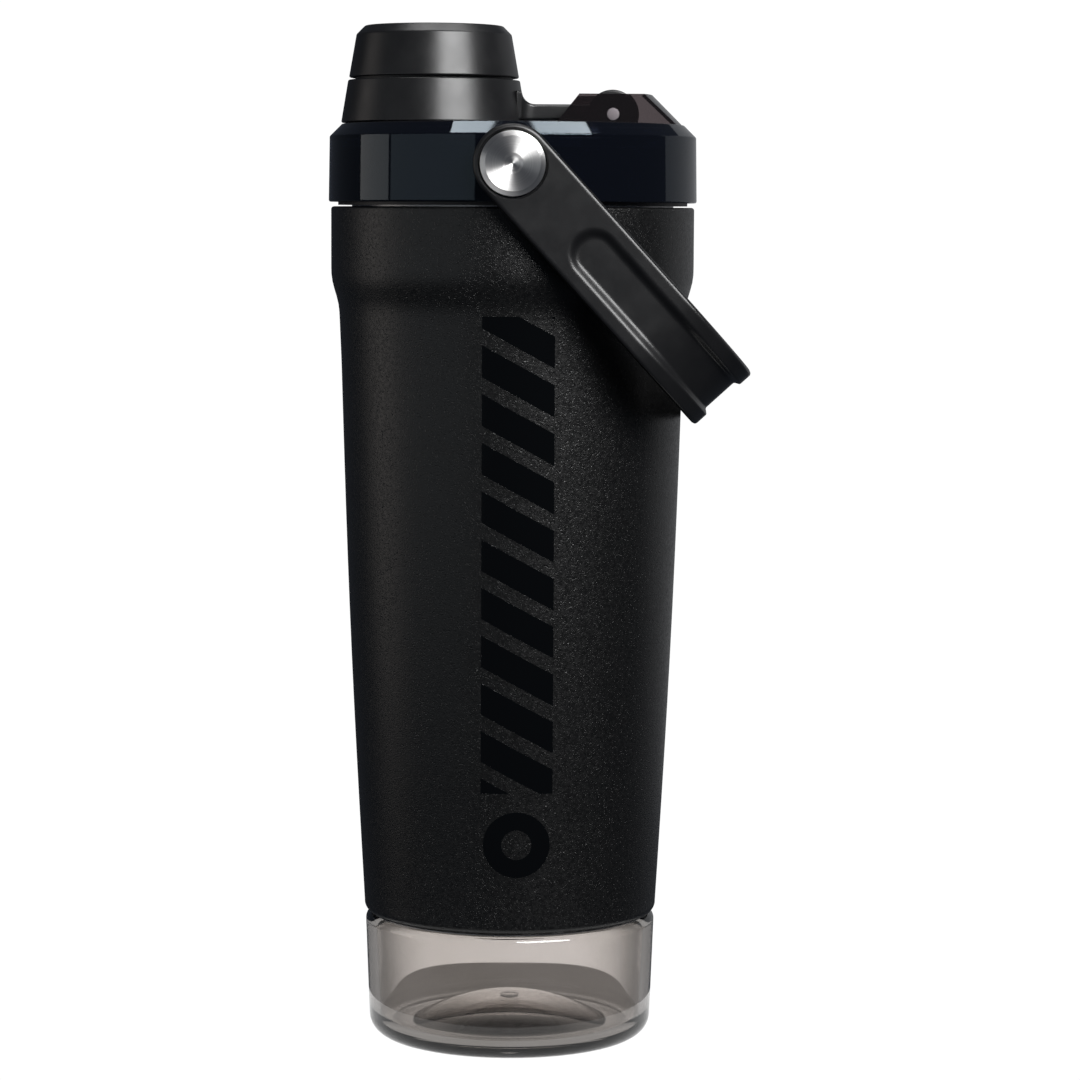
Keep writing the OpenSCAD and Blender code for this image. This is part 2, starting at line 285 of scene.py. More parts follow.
def finish_mesh(obj, sharp=30):
    """Shade smooth up to the sharp angle, with normals that follow the larger faces."""
    obj.data.shade_smooth()
    obj.data.set_sharp_from_angle(angle=sharp * DEG)
    step = obj.modifiers.new("normals", "WEIGHTED_NORMAL")
    step.keep_sharp = True
    step.weight = 60


def place(obj, body, slot, node):
    """Let obj ride on a body, stand for its CAD node and take its slot's material."""
    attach(obj, body)
    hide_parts(node)
    obj.data.materials.clear()
    obj.data.materials.append(MATERIALS[slot])


# ---------------------------------------------------------------- materials


class Shader:
    """A small builder for a Principled material whose patterns lie in the frame's own space."""

    def __init__(self, name, base, roughness, metallic=0.0, **sockets):
        self.material = bpy.data.materials.new(name)
        self.material.use_nodes = True
        self.tree = self.material.node_tree
        self.bsdf = self.tree.nodes["Principled BSDF"]
        self.bsdf.inputs["Base Color"].default_value = (*base, 1)
        self.bsdf.inputs["Roughness"].default_value = roughness
        self.bsdf.inputs["Metallic"].default_value = metallic
        for socket, value in sockets.items():
            self.bsdf.inputs[socket.replace("_", " ")].default_value = value
        self.place = self.node("ShaderNodeTexCoord").outputs["Object"]

    def node(self, kind, **settings):
        node = self.tree.nodes.new(kind)
        for key, value in settings.items():
            setattr(node, key, value)
        return node

    def link(self, source, target):
        """Feed a socket from another node's output, or set it to a plain number."""
        if isinstance(source, (int, float)):
            target.default_value = source
        else:
            self.tree.links.new(source, target)

    def math(self, operation, *values):
        node = self.node("ShaderNodeMath", operation=operation)
        for value, socket in zip(values, node.inputs):
            self.link(value, socket)
        return node.outputs[0]

    def split_place(self):
        """The outputs X, Y and Z of the frame's own space, in metres."""
        split = self.node("ShaderNodeSeparateXYZ")
        self.link(self.place, split.inputs["Vector"])
        return split.outputs

    def length(self, x, z):
        """How far a point with offsets x and z lies from where both are 0."""
        squares = [self.math("POWER", value, 2) for value in (x, z)]
        return self.math("SQRT", self.math("ADD", *squares))

    def scaled_place(self, size_mm, stretch=(1, 1, 1)):
        """The frame's own space, scaled so that a pattern's features are about size_mm across."""
        mapping = self.node("ShaderNodeMapping")
        mapping.inputs["Scale"].default_value = [s / (size_mm * MM) for s in stretch]
        self.link(self.place, mapping.inputs["Vector"])
        return mapping.outputs["Vector"]

    def noise(self, size_mm, detail=2.0, rough=0.5, stretch=(1, 1, 1)):
        noise = self.node("ShaderNodeTexNoise")
        noise.inputs["Scale"].default_value = 1.0
        noise.inputs["Detail"].default_value = detail
        noise.inputs["Roughness"].default_value = rough
        self.link(self.scaled_place(size_mm, stretch), noise.inputs["Vector"])
        return noise.outputs["Fac"]

    def cells(self, size_mm):
        cells = self.node("ShaderNodeTexVoronoi")
        cells.inputs["Scale"].default_value = 1.0
        self.link(self.scaled_place(size_mm), cells.inputs["Vector"])
        return cells

    def ramp(self, value, low, high, out_low=0.0, out_high=1.0):
        """Map value from low..high to out_low..out_high, with soft ends."""
        node = self.node("ShaderNodeMapRange", clamp=True, interpolation_type="SMOOTHSTEP")
        self.link(value, node.inputs["Value"])
        sockets = ("From Min", "From Max", "To Min", "To Max")
        for socket, number in zip(sockets, (low, high, out_low, out_high)):
            node.inputs[socket].default_value = number
        return node.outputs["Result"]

    def mix_colour(self, factor, first, second):
        node = self.node("ShaderNodeMix", data_type="RGBA")
        self.link(factor, node.inputs["Factor"])
        for socket, colour in ((node.inputs["A"], first), (node.inputs["B"], second)):
            if isinstance(colour, tuple):
                socket.default_value = (*colour, 1)
            else:
                self.tree.links.new(colour, socket)
        return node.outputs["Result"]

    def vary_roughness(self, value, out_low, out_high, low=0.3, high=0.7):
        self.link(self.ramp(value, low, high, out_low, out_high), self.bsdf.inputs["Roughness"])

    def vary_colour(self, value, dark, light, low=0.3, high=0.7):
        factor = self.ramp(value, low, high)
        self.link(self.mix_colour(factor, dark, light), self.bsdf.inputs["Base Color"])

    def bump(self, height, strength, depth_mm):
        node = self.node("ShaderNodeBump")
        node.inputs["Strength"].default_value = strength
        node.inputs["Distance"].default_value = depth_mm * MM
        self.link(height, node.inputs["Height"])
        self.link(node.outputs["Normal"], self.bsdf.inputs["Normal"])


def moulded_plastic(name, base, light, roughness):
    """Satin moulded plastic: a fine spark-eroded texture and a little unevenness."""
    shader = Shader(name, base, roughness)
    shader.vary_colour(shader.noise(9.0, 3), base, light, 0.35, 0.65)
    shader.vary_roughness(shader.noise(5.0, 4), roughness - 0.02, roughness + 0.03)
    shader.bump(shader.noise(0.35), strength=0.25, depth_mm=0.015)
    return shader.material


PRINT_X = 1.5
PRINT_HALF = 8.6
PRINT_LOW = 66.0
PRINT_HIGH = 180.0
PRINT_SLANT = 0.55
BAR_PITCH = 11.5
BAR_SHARE = 0.66
EMBLEM_Z = 53.5
EMBLEM_R = 8.0
EMBLEM_HOLE_R = 3.6


def print_mask(shader):
    """1 where the plain printed bars and the round emblem under them lie, on the front of the body."""
    place = shader.split_place()
    x = shader.math("SUBTRACT", shader.math("DIVIDE", place["X"], MM), PRINT_X)
    z = shader.math("DIVIDE", place["Z"], MM)
    front = shader.math("LESS_THAN", place["Y"], 0.0)
    width = shader.math("LESS_THAN", shader.math("ABSOLUTE", x), PRINT_HALF)
    above = shader.math("GREATER_THAN", z, PRINT_LOW)
    below = shader.math("LESS_THAN", z, PRINT_HIGH)
    slanted = shader.math("ADD", z, shader.math("MULTIPLY", x, PRINT_SLANT))
    phase = shader.math("FRACT", shader.math("DIVIDE", slanted, BAR_PITCH))
    bars = shader.math("MULTIPLY", width, shader.math("LESS_THAN", phase, BAR_SHARE))
    column = shader.math("MULTIPLY", bars, shader.math("MULTIPLY", above, below))
    span = shader.length(x, shader.math("SUBTRACT", z, EMBLEM_Z))
    disc = shader.math("LESS_THAN", span, EMBLEM_R)
    hole = shader.math("GREATER_THAN", span, EMBLEM_HOLE_R)
    emblem = shader.math("MULTIPLY", disc, hole)
    return shader.math("MULTIPLY", front, shader.math("MAXIMUM", column, emblem))


def powder_coat():
    """Black powder coat: fine beads, a few steep enough to sparkle, and a flat, glossy tonal print."""
    coat = (0.0016, 0.0016, 0.0016)
    fleck = (0.004, 0.004, 0.004)
    ink = (0.0008, 0.001, 0.0012)
    ink_roughness = 0.13
    bead_mm, bead_depth, flattest_bead = 0.36, 0.085, 0.15
    shader = Shader("powder_coat", coat, 0.34)
    mask = print_mask(shader)
    bare = shader.math("SUBTRACT", 1.0, mask)
    speckle = shader.mix_colour(shader.ramp(shader.noise(0.6, 3, 0.7), 0.4, 0.7), coat, fleck)
    shader.link(shader.mix_colour(mask, speckle, ink), shader.bsdf.inputs["Base Color"])
    satin = shader.ramp(shader.noise(0.8, 2, 0.6), 0.35, 0.65, 0.29, 0.4)
    on_coat = shader.math("MULTIPLY", bare, satin)
    on_print = shader.math("MULTIPLY", mask, ink_roughness)
    shader.link(shader.math("ADD", on_coat, on_print), shader.bsdf.inputs["Roughness"])
    beads = shader.cells(bead_mm)
    domes = shader.math("SUBTRACT", 0.3, shader.math("POWER", beads.outputs["Distance"], 2))
    pick = shader.node("ShaderNodeSeparateColor")
    shader.link(beads.outputs["Color"], pick.inputs["Color"])
    size = shader.math("ADD", flattest_bead, shader.math("POWER", pick.outputs["Red"], 3))
    height = shader.math("MULTIPLY", shader.math("MULTIPLY", domes, size), bare)
    shader.bump(height, strength=1.0, depth_mm=bead_depth)
    return shader.material


def smoked_plastic():
    """Blue-black smoked plastic, polished, with painted light: its base colour turns lighter and warmer above
    the deck, for the light that shows through the hinge housing.
    """
    collar = (0.018, 0.022, 0.038)
    # painted light: the lighter, warmer base colour of the hinge housing above the deck, standing for light
    # that shows through it
    painted_housing_light = (0.068, 0.056, 0.059)
    shader = Shader("smoked_plastic", collar, 0.03, Transmission_Weight=0.9, IOR=1.5)
    shader.bsdf.inputs["Specular Tint"].default_value = (0.72, 0.88, 1.0, 1)
    # painted light: the mask above the deck that brings in the lighter housing colour
    above_deck = shader.ramp(shader.split_place()["Z"], (DECK_Z - 0.4) * MM, (DECK_Z + 0.2) * MM)
    shader.link(shader.mix_colour(above_deck, collar, painted_housing_light), shader.bsdf.inputs["Base Color"])
    shader.vary_roughness(shader.noise(12.0, 3), 0.02, 0.05)
    shader.bump(shader.noise(14.0, 1), strength=0.12, depth_mm=0.05)
    return shader.material


def clear_smoke():
    """Clear warm grey plastic with slightly uneven walls."""
    dark, light = (0.64, 0.61, 0.585), (0.69, 0.66, 0.64)
    shader = Shader("clear_smoke", dark, 0.02, Transmission_Weight=1.0, IOR=1.49)
    shader.vary_colour(shader.noise(30.0), dark, light, 0.35, 0.65)
    shader.vary_roughness(shader.noise(10.0, 3), 0.01, 0.04)
    shader.bump(shader.noise(18.0, 1), strength=0.12, depth_mm=0.06)
    return shader.material


def screw_steel():
    """Face-turned steel: fine concentric tool marks, and highlights drawn out into wedges across them."""
    base = (0.74, 0.73, 0.72)
    roughness = 0.4
    mark_mm = 0.3
    shader = Shader("turned_steel", base, roughness, metallic=1.0, Anisotropic=0.92)
    place = shader.split_place()
    dx = shader.math("SUBTRACT", place["X"], PIVOT.x * MM)
    dz = shader.math("SUBTRACT", place["Z"], PIVOT.z * MM)
    span = shader.length(dx, dz)
    marks = shader.node("ShaderNodeTexNoise", noise_dimensions="1D")
    marks.inputs["Scale"].default_value = 1 / (mark_mm * MM)
    marks.inputs["Detail"].default_value = 2.0
    shader.link(span, marks.inputs["W"])
    shader.vary_roughness(marks.outputs["Fac"], roughness - 0.05, roughness + 0.05)
    shader.vary_colour(marks.outputs["Fac"], tuple(0.9 * c for c in base), base)
    shader.bump(marks.outputs["Fac"], strength=0.12, depth_mm=0.01)
    tangent = shader.node("ShaderNodeCombineXYZ")
    shader.link(shader.math("DIVIDE", dx, span), tangent.inputs["X"])
    shader.link(shader.math("DIVIDE", dz, span), tangent.inputs["Z"])
    shader.link(tangent.outputs["Vector"], shader.bsdf.inputs["Tangent"])
    return shader.material


def brushed(name, base, roughness, stretch):
    """Metal with fine streaks: stretch says how much its noise is squeezed along each axis."""
    shader = Shader(name, base, roughness, metallic=1.0)
    streaks = shader.noise(6.0, 4, 0.6, stretch)
    shader.vary_roughness(streaks, roughness - 0.06, roughness + 0.08)
    shader.vary_colour(streaks, tuple(0.85 * c for c in base), base)
    shader.bump(streaks, strength=0.15, depth_mm=0.02)
    return shader.material


def rubber(name, base, light):
    """Dull silicone with a fine grain."""
    shader = Shader(name, base, 0.6)
    shader.vary_colour(shader.noise(2.0, 4), base, light)
    shader.vary_roughness(shader.noise(1.0, 3), 0.52, 0.68)
    shader.bump(shader.noise(0.25), strength=0.3, depth_mm=0.02)
    return shader.material


# base colour, lighter patches, roughness
MOULDED = {
    "satin_plastic": ((0.0055, 0.0055, 0.006), (0.0075, 0.0075, 0.008), 0.33),
    "black_plastic": ((0.01, 0.01, 0.0105), (0.014, 0.014, 0.0145), 0.45),
    "grid_plastic": ((0.045, 0.045, 0.05), (0.06, 0.06, 0.065), 0.45),
    "bush_nylon": ((0.03, 0.03, 0.032), (0.045, 0.045, 0.047), 0.5),
}
# base colour, roughness, how much the noise is squeezed along X, Y and Z
BRUSHED = {
    "liner_steel": ((0.62, 0.62, 0.63), 0.3, (1, 1, 40)),
    "pin_steel": ((0.2, 0.18, 0.19), 0.6, (1, 20, 1)),
    "getter": ((0.25, 0.25, 0.26), 0.6, (1, 1, 1)),
    "insert_brass": ((0.6, 0.42, 0.16), 0.35, (1, 20, 1)),
}
MATERIALS = {
    "powder_coat": powder_coat(),
    "smoked_plastic": smoked_plastic(),
    "clear_smoke": clear_smoke(),
    "turned_steel": screw_steel(),
    "silicone": rubber("silicone", (0.05, 0.05, 0.054), (0.065, 0.065, 0.07)),
}
for name, settings in MOULDED.items():
    MATERIALS[name] = moulded_plastic(name, *settings)
for name, settings in BRUSHED.items():
    MATERIALS[name] = brushed(name, *settings)


# ---------------------------------------------------------------- pieces


def cad_profile(node):
    """Outer outline of a turned CAD node as (z, r), bottom to top, read off its own vertices."""
    widest = {}
    for vertex in frame["nodes"][node].data.vertices:
        point = vertex.co / MM
        z = round(point.z, 2)
        widest[z] = max(widest.get(z, 0), math.hypot(point.x, point.y))
    return sorted(widest.items())


def base_edge(middle_r, middle_z, radius, inner_r, steps=9):
    """Arc from the pan's radius out to the upright wall, for the shell's rolled bottom edge."""
    start = math.acos((inner_r - middle_r) / radius)
    turns = [-start * (1 - k / steps) for k in range(steps + 1)]
    return [(middle_r + radius * math.cos(a), middle_z + radius * math.sin(a)) for a in turns]


def outer_shell():
    """Steel shell: the CAD's own curve, made smooth, with a rolled bottom edge and a rounded lip."""
    wall, edge, blend, gap = 0.6, 2.2, 1.2, 0.4
    mouth_r = 39.5
    low = PAN_LOW.z + edge
    high = SHELL_HIGH.z
    knots = [(z, r) for z, r in cad_profile("outer_shell") if low < z < high - 1.0]
    bottom_r = knots[0][1]
    top_r = knots[-1][1]

    def radius(z):
        for (z0, r0), (z1, r1) in zip(knots, knots[1:]):
            if z <= z1:
                return r0 + (r1 - r0) * (z - z0) / (z1 - z0)
        return top_r

    steps = 90
    smooth_wall = []
    for k in range(steps):
        z = low + gap + (high - blend - gap - low) * k / steps
        painted_housing_light = [radius(z + d * blend) for d in (-1, -0.5, 0, 0.5, 1)]
        smooth_wall.append((sum(painted_housing_light) / len(painted_housing_light), z))
    corners = base_edge(bottom_r - edge, low, edge, PAN_HIGH.x) + smooth_wall
    corners += [(top_r, high, 0.7), (mouth_r, high), (mouth_r, high - wall), (top_r - wall, high - wall, 0.3)]
    corners += [(r - wall, z) for r, z in reversed(smooth_wall)]
    corners += reversed(base_edge(bottom_r - edge, low, edge - wall, PAN_HIGH.x))
    obj = new_object("body_shell", lathe_bm(fillet(corners, 7), 256))
    place(obj, "bottle", "powder_coat", "outer_shell")


def ridge_bm(wall_r, crest_r, z0, start, steps=90):
    """One ridge of the cup's thread, with tapered ends, as in the CAD but finer."""
    root_half, crest_half, sink = 0.6, 0.3, 0.25
    height = crest_r - wall_r
    sunk_r = wall_r - math.copysign(sink, height)
    bm = bmesh.new()
    rows = []
    for i in range(steps + 1):
        t = i / steps
        fade = min(1, 8 * t, 8 * (1 - t))
        crest = wall_r + height * (0.02 + 0.98 * math.sin(fade * math.pi / 2))
        a = (start + THREAD_SWEEP * t) * DEG
        z = z0 + THREAD_LEAD * THREAD_SWEEP * t / 360
        profile = fillet([
            (sunk_r, -root_half), (wall_r, 0.05 - root_half), (crest, -crest_half, 0.2),
            (crest, crest_half, 0.2), (wall_r, root_half - 0.05), (sunk_r, root_half),
        ], 2)
        rows.append([bm.verts.new((r * math.cos(a), r * math.sin(a), z + dz)) for r, dz in profile])
    return skin(bm, rows, capped=True)


def add_thread(obj, wall_r, crest_r, z0, start):
    """Give obj a thread with two starts."""
    for turn in (0, 180):
        ridge = new_object("ridge", ridge_bm(wall_r, crest_r, z0, start + turn))
        combine(obj, "UNION", ridge)


def base_ring():
    """Black female ring in the body's foot."""
    outer_r = BASE_RING_HIGH.x
    low, high = BASE_RING_LOW.z, BASE_RING_HIGH.z
    bore_r, lip_r, lip_t, thread_z = 33.3, 28.5, 1.1, 32.2
    corners = [
        (bore_r, low, 0.3), (outer_r, low, 0.3), (outer_r, high, 0.2),
        (lip_r, high, 0.3), (lip_r, high - lip_t, 0.3), (bore_r, high - lip_t, 0.3),
    ]
    obj = new_object("base_thread_ring", lathe_bm(fillet(corners, 4)))
    add_thread(obj, bore_r, bore_r - THREAD_DEPTH, thread_z, 0)
    finish_mesh(obj)
    place(obj, "bottle", "black_plastic", "base_ring")


def storage_cup():
    """Clear cup: thick walls, rounded shoulder, threaded neck and pushed-up bottom."""
    top = CUP_HIGH.z
    shoulder = PAN_LOW.z - 0.25
    wall_r, wall, foot_r = 36.05, 2.4, 34.9
    neck_r, mouth_r, thread_z = 32.0, 30.0, 33.4
    rim_r, dome, floor_t = 24, 6.6, 3.0

    def dome_curve(lift, steps=12):
        shares = [1 - k / steps for k in range(1, steps + 1)]
        return [(rim_r * s, lift + dome * (1 - s ** 2)) for s in shares]

    corners = dome_curve(0)[::-1] + [
        (rim_r, 0, 1.2), (foot_r, 0, 4.8), (wall_r, shoulder, 2.2), (neck_r, shoulder, 0.4),
        (neck_r, top, 0.4), (mouth_r, top, 0.4), (mouth_r, shoulder, 0.8),
        (wall_r - wall, shoulder - 1.8, 1.0), (foot_r - 2.5, floor_t, 4.0), (rim_r, floor_t, 1.6),
    ] + dome_curve(floor_t)
    obj = new_object("clear_cup", lathe_bm(fillet(corners, 7), 256))
    add_thread(obj, neck_r, neck_r + THREAD_DEPTH, thread_z, -20)
    gate_mark = rod("gate", 2.2, dome - 0.5, dome + 0.7, 48, edge=0.3)
    combine(obj, "DIFFERENCE", gate_mark)
    finish_mesh(obj, 40)
    place(obj, "storage_cup", "clear_smoke", "storage_cup")


def housing():
    """Hinge housing on the deck: two cheeks and a back, under a cone that carries on the chamfer."""
    low = DECK_Z - 0.8
    top = COVER_HIGH.z
    toe_x, brow_x, back_x = 9.5, 16, 44
    block = new_object("housing", prism_bm(
        [(toe_x, low), (brow_x, top), (back_x, top), (back_x, low)], -HOUSING_HALF, HOUSING_HALF
    ))
    cone_r, cone_low, tall = 43.3, low - 1, 12
    cone = new_object("cone", lathe_bm([
        (0, cone_low), (cone_r, cone_low), (cone_r - tall, cone_low + tall), (0, cone_low + tall)
    ], 256))
    slot = new_object("slot", prism_bm(
        [(0, cone_low), (HINGE.x, cone_low), (HINGE.x, top + 5), (0, top + 5)], -SLOT_HALF, SLOT_HALF
    ))
    combine(block, "INTERSECT", cone)
    return combine(block, "DIFFERENCE", slot)


def crease_chamfer(obj):
    """Shade the deck's chamfer apart from what cuts into it, so that its reflections stay straight."""

    def on_chamfer(face):
        return abs(face.normal.z - math.sqrt(0.5)) < 0.02

    bm = bmesh.new()
    bm.from_mesh(obj.data)
    for edge in bm.edges:
        sides = {on_chamfer(face) for face in edge.link_faces}
        if len(sides) == 2:
            edge.smooth = False
    bm.to_mesh(obj.data)
    bm.free()


def lid_cover():
    """Smoked cover: collar, chamfered deck, hinge housing and the handle's bosses."""
    foot_z = COVER_LOW.z
    top_r = COLLAR_R - COLLAR_DRAFT
    chamfer_z = DECK_Z - CHAMFER
    inner_r, deck_t = 43.05, 2
    boss_root, boss_face, insert_r = 43.4, 46.0, 4.2
    corners = [
        (inner_r, foot_z, 0.3), (COLLAR_R, foot_z, 0.5), (top_r, chamfer_z, 0.5),
        (top_r - CHAMFER, DECK_Z, 0.4), (0, DECK_Z), (0, DECK_Z - deck_t),
        (top_r - CHAMFER - 0.8, DECK_Z - deck_t, 0.5), (inner_r, chamfer_z - 1, 0.5),
    ]
    obj = new_object("smoked_cover", lathe_bm(fillet(corners, 5), 256))
    # the block under the deck holds the lower half of the knuckle's pocket
    x0, x1, z0, z1, half = 16.5, 32.1, 220.2, DECK_Z - 1, 8.8
    under = new_object("under", prism_bm([(x0, z0), (x1, z0), (x1, z1), (x0, z1)], -half, half))
    combine(obj, "UNION", under, housing())
    for side in (-1, 1):
        combine(obj, "UNION", rod("boss", BOSS_R, boss_root, boss_face, 96, at_pivot(side), 0.5))
        combine(obj, "DIFFERENCE", rod("hole", insert_r, 40, 47, 64, at_pivot(side)))
    spout_hole = rod("spout_hole", 15.3, DECK_Z - 5, DECK_Z + 5, 128, at_spout())
    pocket = rod("pocket", KNUCKLE_R + 0.3, -SLOT_HALF, SLOT_HALF, 96, at_hinge())
    pin_hole = rod("pin_hole", PIN_R + 0.01, -20, 20, 48, at_hinge())
    combine(obj, "DIFFERENCE", spout_hole, pocket, pin_hole)
    round_edges(obj, 0.4, lambda p: p.x > 5 and p.z > DECK_Z + 0.1)
    finish_mesh(obj)
    crease_chamfer(obj)
    place(obj, "lid", "smoked_plastic", "lid_cover")


def cap_shell():
    """Outside of the twist cap: a soft cone with a chamfered, slightly crowned top."""
    low, high = CAP_LOW.z, CAP_HIGH.z
    wall, top_t = 1.5, 1.75
    brow_r, crown_r = 19.0, 16.9
    corners = [
        (CAP_R - wall, low, 0.3), (CAP_R, low, 0.35), (brow_r, high - 2.2, 0.9),
        (crown_r, high - 0.1, 0.8), (0, high), (0, high - top_t),
        (crown_r - 0.5, high - top_t, 0.5), (brow_r - 1.3, high - 3.35, 0.5),
    ]
    obj = new_object("twist_cap", lathe_bm(fillet(corners, 7), matrix=at_spout()))
    finish_mesh(obj)
    place(obj, "cap", "satin_plastic", "cap_shell")


def cap_ring():
    """Ring round the spout, with the strap flared into it and the hinge knuckle on its end."""
    low, step_z, high = 226.1, 232.0, 236.5
    core_r, top_r = 15, 21.04
    foot_bore_r, bore_r = 20.55, 19.6
    ring_corners = [(core_r, low), (RING_R, low, 0.35), (top_r, high, 0.35), (core_r, high)]
    obj = new_object("hinged_ring", lathe_bm(fillet(ring_corners, 5), matrix=at_spout()))
    strap = new_object("strap", strap_bm())
    knuckle = rod("knuckle", KNUCKLE_R, -KNUCKLE_HALF, KNUCKLE_HALF, 96, at_hinge(), 0.5)
    combine(obj, "UNION", strap, knuckle)
    bore = new_object("bore", lathe_bm(fillet([
        (0, low - 2), (foot_bore_r, low - 2), (foot_bore_r, step_z),
        (bore_r, step_z), (bore_r, high + 2), (0, high + 2),
    ]), matrix=at_spout()))
    pin_hole = rod("pin_hole", PIN_R + 0.06, -20, 20, 48, at_hinge())
    combine(obj, "DIFFERENCE", bore, pin_hole)
    finish_mesh(obj)
    place(obj, "ring", "satin_plastic", "cap_ring")


def strap_bm():
    """Flat strap with rounded edges, wider and taller where it runs into the ring."""
    bottom, top = 227.0, 230.7
    x0, x1 = 0.9, HINGE.x
    root, rise, flare = 1.2, 3.2, 2.2
    steps = 40
    bm = bmesh.new()
    rows = []
    for k in range(steps + 1):
        x = x0 + (x1 - x0) * (k / steps) ** 1.6
        near = min(1.0, max(0.0, 1 - (x - x0 - root) / rise))
        swell = 1 - math.sqrt(1 - near * near)
        half = KNUCKLE_HALF + flare * swell
        crest = top + rise * swell
        section = fillet([
            (-half, bottom, 0.5), (half, bottom, 0.5), (half, crest, 0.7), (-half, crest, 0.7)
        ], 3)
        rows.append([bm.verts.new((x, y, z)) for y, z in section])
    return skin(bm, rows, capped=True)


def bail_path():
    """Stations along the bail's outside, eye to eye: (u, y) and the outward normal's u and y."""
    half = BAND_W / 2
    corner_r = REACH - CORNER_U
    corner_y = EYE_Y - corner_r
    tip_steps, arm_steps, arc_steps, grip_steps = 16, 90, 60, 20
    stations = []
    for k in range(tip_steps):
        a = 90 * DEG * k / tip_steps
        stations.append((-half * math.cos(a), -EYE_Y, 0.0, -1.0))
    for k in range(arm_steps):
        stations.append((CORNER_U * k / arm_steps, -EYE_Y, 0.0, -1.0))
    for k in range(arc_steps):
        a = 90 * DEG * (k / arc_steps - 1)
        nu, ny = math.cos(a), math.sin(a)
        stations.append((CORNER_U + corner_r * nu, corner_r * ny - corner_y, nu, ny))
    for k in range(grip_steps):
        stations.append((REACH, corner_y * (k / grip_steps - 1), 1.0, 0.0))
    middle = [(REACH, 0.0, 1.0, 0.0)]
    mirrored = [(u, -y, nu, -ny) for u, y, nu, ny in reversed(stations)]
    return stations + middle + mirrored


def smoothstep(t):
    """Soft step from 0 to 1 while t goes from 0 to 1."""
    t = max(0.0, min(1.0, t))
    return t * t * (3 - 2 * t)


def from_line(u, w):
    """Distance from a line that runs ahead from u = 0, measured round its end."""
    return math.hypot(min(u, 0.0), w)


def spread(count):
    """Places from -1 to 1, closer together near both ends."""
    even = [2 * k / count - 1 for k in range(count + 1)]
    return [0.82 * t + 0.18 * math.sin(t * math.pi / 2) for t in even]


def edge_drop(distance, radius):
    """How far a rounded edge has fallen away at this distance in from its rim."""
    if distance >= radius:
        return 0.0
    return radius - math.sqrt(max(0.0, radius * radius - (radius - distance) ** 2))


def bail_bm():
    """The bail as one skin: rounded edges, round eyes, and the channel along its outside."""
    half = BAND_W / 2
    outer_round, inner_round = 1.0, 0.8
    channel_u, channel_half, channel_depth = 28.4, 4.95, 1.3
    arm_slope, grip_slope, slope_span = 1.15, 0.55, 24
    outer_cols, inner_cols = 60, 22
    bm = bmesh.new()
    rows = []
    for u, y, nu, ny in bail_path():
        reach = half if u >= 0 else math.sqrt(max(0.0, half * half - u * u))
        on_grip = smoothstep((u - CORNER_U) / slope_span)
        slope = arm_slope + (grip_slope - arm_slope) * on_grip
        thickness = BAND_T + (GRIP_T - BAND_T) * nu * nu
        row = []
        for v in spread(outer_cols):
            w = v * reach
            into_wall = from_line(u - channel_u, w) - channel_half
            depth = edge_drop(half - from_line(u, w), outer_round)
            depth += channel_depth * (1 - smoothstep((into_wall + slope) / (2 * slope)))
            row.append(bm.verts.new((u - nu * depth, y - ny * depth, w)))
        for v in reversed(spread(inner_cols)):
            w = v * reach
            depth = thickness - edge_drop(half - from_line(u, w), inner_round)
            row.append(bm.verts.new((u - nu * depth, y - ny * depth, w)))
        rows.append(row)
    skin(bm, rows)
    bmesh.ops.remove_doubles(bm, verts=bm.verts, dist=1e-4)
    return bm


def handle():
    """The bail at rest, with a stepped hole for the bush and the screw in each eye."""
    bm = bail_bm()
    turn = Matrix.Translation(PIVOT) @ Matrix.Rotation(REST_ANGLE, 4, "Y")
    bmesh.ops.transform(bm, matrix=turn, verts=bm.verts)
    obj = new_object("bail_handle", bm, 40)
    inside, seat, outside = 40, EYE_Y - 1.7, 55
    bore_r, sink_r, lip_r = 4.6, 8.0, 8.45
    outline = fillet([
        (0, inside), (bore_r, inside), (bore_r, seat), (sink_r, seat), (sink_r, EYE_Y - 0.35, 0.1),
        (lip_r, EYE_Y + 0.05), (lip_r, outside), (0, outside),
    ], 3)
    for side in (-1, 1):
        combine(obj, "DIFFERENCE", new_object("cutter", lathe_bm(outline, 128, at_pivot(side))))
    finish_mesh(obj, 40)
    place(obj, "handle", "satin_plastic", "handle")


def handle_screw(node, side):
    """Turned shoulder screw: bevelled rim, shallow cone face and a drilled centre."""
    tip, shoulder, seat, face = 41.4, 46.0, 48.85, SCREW_FACE
    shank_r, shoulder_r, head_r = 2.45, 4.0, 7.66
    bevel_r, hub_r, drill_r, drill_tip_r = 6.45, 2.45, 1.75, 0.7
    corners = [
        (0, tip), (shank_r, tip, 0.3), (shank_r, shoulder), (shoulder_r, shoulder, 0.2), (shoulder_r, seat),
        (head_r, seat, 0.15), (head_r, face - 0.75, 0.15), (bevel_r, face - 0.02, 0.12),
        (hub_r, face - 0.32, 0.15), (drill_r, face - 0.75, 0.2), (drill_tip_r, face - 1.0, 0.1),
        (0, face - 1.25),
    ]
    obj = new_object(node + "_turned", lathe_bm(fillet(corners, 5), 160, at_pivot(side)))
    finish_mesh(obj)
    place(obj, "lid", "turned_steel", node)


def hinge_pin():
    """Ground steel pin with rounded ends, through the housing and the knuckle."""
    obj = rod("hinge_pin_ground", PIN_R, -PIN_HALF, PIN_HALF, 64, at_hinge(), 0.25)
    place(obj, "lid", "pin_steel", "hinge_pin")


CARRIED = {
    "inner_liner": "liner_steel",
    "shell_base": "liner_steel",
    "vacuum_getter": "getter",
    "lid_gasket": "silicone",
    "lid_core": "black_plastic",
    "insert_front": "insert_brass",
    "insert_back": "insert_brass",
    "mixer_grid": "grid_plastic",
    "cap_seal": "silicone",
    "cap_core": "black_plastic",
    "bush_front": "bush_nylon",
    "bush_back": "bush_nylon",
    "cup_gasket": "silicone",
}


